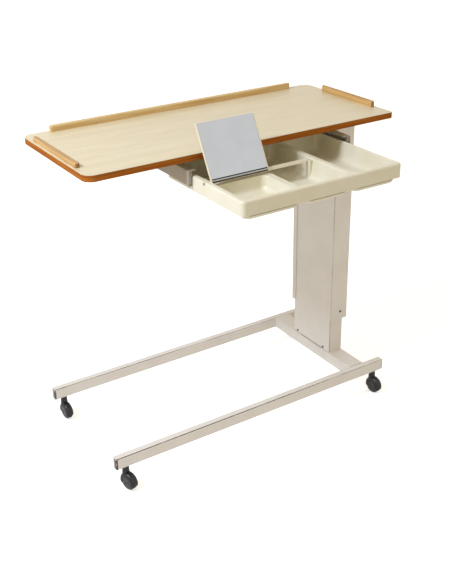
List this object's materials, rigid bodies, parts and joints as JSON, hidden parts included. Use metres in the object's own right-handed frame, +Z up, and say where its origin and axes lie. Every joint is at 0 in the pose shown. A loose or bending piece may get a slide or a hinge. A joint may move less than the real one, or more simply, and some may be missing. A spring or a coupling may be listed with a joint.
{
  "type": "over-bed table",
  "caption": "Over-bed table: castored base, height-adjustable column, cantilevered laminate top with wooden rails, and a pull-out moulded drawer with a hinged mirror lid.",
  "frame": {"origin": "on the floor under the middle of the tabletop", "axes": "+Z up, +X along the tabletop towards the column, -Y the way the drawer opens"},
  "size_m": [0.9451, 0.6556, 0.9783],
  "materials": {
    "paint": "worn pale grey-beige stove enamel on steel",
    "cap": "matt pale moulded plastic",
    "black_plastic": "moulded black nylon",
    "black_paint": "black enamel on steel",
    "rubber": "matt black tread",
    "steel": "plated steel",
    "nylon": "natural nylon",
    "laminate": "cream wood-grain laminate on board",
    "lipping": "orange-brown stained edge",
    "rail": "clear lacquered light wood",
    "tray": "cream moulded plastic",
    "mirror": "silvered glass",
    "aluminium": "mill finish"
  },
  "bodies": {
    "base": {"leg_near": "paint", "leg_far": "paint", "leg_cap_near_left": "cap", "leg_cap_near_right": "cap", "leg_cap_far_left": "cap", "leg_cap_far_right": "cap", "cross_member": "paint", "mast": "paint", "mast_cover": "paint", "cover_screw_1": "steel", "cover_screw_2": "steel", "mast_guide_cap": "nylon", "gas_spring_cylinder": "black_paint"},
    "carriage": {"sleeve": "paint", "sleeve_guide": "nylon", "sleeve_screw_front": "steel", "sleeve_screw_back": "steel", "head_plate": "paint", "gas_spring_rod": "steel", "lever_bracket": "steel", "lever_pin": "steel", "top_board": "laminate", "top_laminate": "laminate", "top_lipping": "lipping", "rail_back": "rail", "rail_left": "rail", "rail_right": "rail", "top_arm_front": "paint", "top_arm_back": "paint", "runner_left": "paint", "runner_right": "paint"},
    "lever": {"release_lever": "black_paint"},
    "spring_pin": {"release_pin": "steel"},
    "drawer": {"drawer_tray": "tray", "drawer_slide_left": "steel", "drawer_slide_right": "steel", "drawer_back_bar": "steel"},
    "mirror": {"mirror_back": "tray", "mirror_clip": "aluminium", "mirror_glass": "mirror", "mirror_bar": "tray", "mirror_pivot_head": "black_plastic"},
    "castor_near_left": {"castor_hood_near_left": "black_plastic", "castor_axle_near_left": "steel"},
    "castor_near_right": {"castor_hood_near_right": "black_plastic", "castor_axle_near_right": "steel"},
    "castor_far_left": {"castor_hood_far_left": "black_plastic", "castor_axle_far_left": "steel"},
    "castor_far_right": {"castor_hood_far_right": "black_plastic", "castor_axle_far_right": "steel"},
    "wheel_near_left_a": {"castor_wheel_near_left_a": "rubber"},
    "wheel_near_left_b": {"castor_wheel_near_left_b": "rubber"},
    "wheel_near_right_a": {"castor_wheel_near_right_a": "rubber"},
    "wheel_near_right_b": {"castor_wheel_near_right_b": "rubber"},
    "wheel_far_left_a": {"castor_wheel_far_left_a": "rubber"},
    "wheel_far_left_b": {"castor_wheel_far_left_b": "rubber"},
    "wheel_far_right_a": {"castor_wheel_far_right_a": "rubber"},
    "wheel_far_right_b": {"castor_wheel_far_right_b": "rubber"}
  },
  "joints": [
    {"name": "height_slide", "type": "slide", "parent": "base", "child": "carriage", "axis": [0, 0, 1], "range_m": [-0.11, 0.2]},
    {"name": "drawer_slide", "type": "slide", "parent": "carriage", "child": "drawer", "axis": [0, 1, 0], "range_m": [0, 0.165]},
    {"name": "mirror_fold", "type": "hinge", "parent": "drawer", "child": "mirror", "pos_m": [-0.087, -0.262, 0.846], "axis": [1, 0, 0], "range_deg": [0, 118]},
    {"name": "release_lever", "type": "hinge", "parent": "carriage", "child": "lever", "pos_m": [0.424, 0, 0.8744], "axis": [0, -1, 0], "range_deg": [0, 8], "stiffness_Nm_per_rad": 1},
    {"name": "spring_pin_slide", "type": "slide", "parent": "carriage", "child": "spring_pin", "axis": [0, 0, -1], "range_m": [0, 0.0058]},
    {"name": "swivel_near_left", "type": "hinge", "parent": "base", "child": "castor_near_left", "pos_m": [-0.43065, -0.2074, 0.0729], "axis": [0, 0, 1], "continuous": true},
    {"name": "swivel_near_right", "type": "hinge", "parent": "base", "child": "castor_near_right", "pos_m": [0.44385, -0.2074, 0.0729], "axis": [0, 0, 1], "continuous": true},
    {"name": "swivel_far_left", "type": "hinge", "parent": "base", "child": "castor_far_left", "pos_m": [-0.43065, 0.2074, 0.0729], "axis": [0, 0, 1], "continuous": true},
    {"name": "swivel_far_right", "type": "hinge", "parent": "base", "child": "castor_far_right", "pos_m": [0.44385, 0.2074, 0.0729], "axis": [0, 0, 1], "continuous": true},
    {"name": "roll_near_left_a", "type": "hinge", "parent": "castor_near_left", "child": "wheel_near_left_a", "pos_m": [-0.42789, -0.21701, 0.025], "axis": [0.9613, 0.2756, 0], "continuous": true},
    {"name": "roll_near_left_b", "type": "hinge", "parent": "castor_near_left", "child": "wheel_near_left_b", "pos_m": [-0.42789, -0.21701, 0.025], "axis": [0.9613, 0.2756, 0], "continuous": true},
    {"name": "roll_near_right_a", "type": "hinge", "parent": "castor_near_right", "child": "wheel_near_right_a", "pos_m": [0.44472, -0.21736, 0.025], "axis": [0.9962, 0.0872, 0], "continuous": true},
    {"name": "roll_near_right_b", "type": "hinge", "parent": "castor_near_right", "child": "wheel_near_right_b", "pos_m": [0.44472, -0.21736, 0.025], "axis": [0.9962, 0.0872, 0], "continuous": true},
    {"name": "roll_far_left_a", "type": "hinge", "parent": "castor_far_left", "child": "wheel_far_left_a", "pos_m": [-0.42995, 0.19742, 0.025], "axis": [0.9976, 0.0698, 0], "continuous": true},
    {"name": "roll_far_left_b", "type": "hinge", "parent": "castor_far_left", "child": "wheel_far_left_b", "pos_m": [-0.42995, 0.19742, 0.025], "axis": [0.9976, 0.0698, 0], "continuous": true},
    {"name": "roll_far_right_a", "type": "hinge", "parent": "castor_far_right", "child": "wheel_far_right_a", "pos_m": [0.44559, 0.19755, 0.025], "axis": [0.9848, 0.1736, 0], "continuous": true},
    {"name": "roll_far_right_b", "type": "hinge", "parent": "castor_far_right", "child": "wheel_far_right_b", "pos_m": [0.44559, 0.19755, 0.025], "axis": [0.9848, 0.1736, 0], "continuous": true}
  ],
  "couplings": [
    {"joint": "mirror_fold", "follows": "drawer_slide", "rad_per_m": 12.48},
    {"joint": "spring_pin_slide", "follows": "release_lever", "m_per_rad": 0.041}
  ]
}
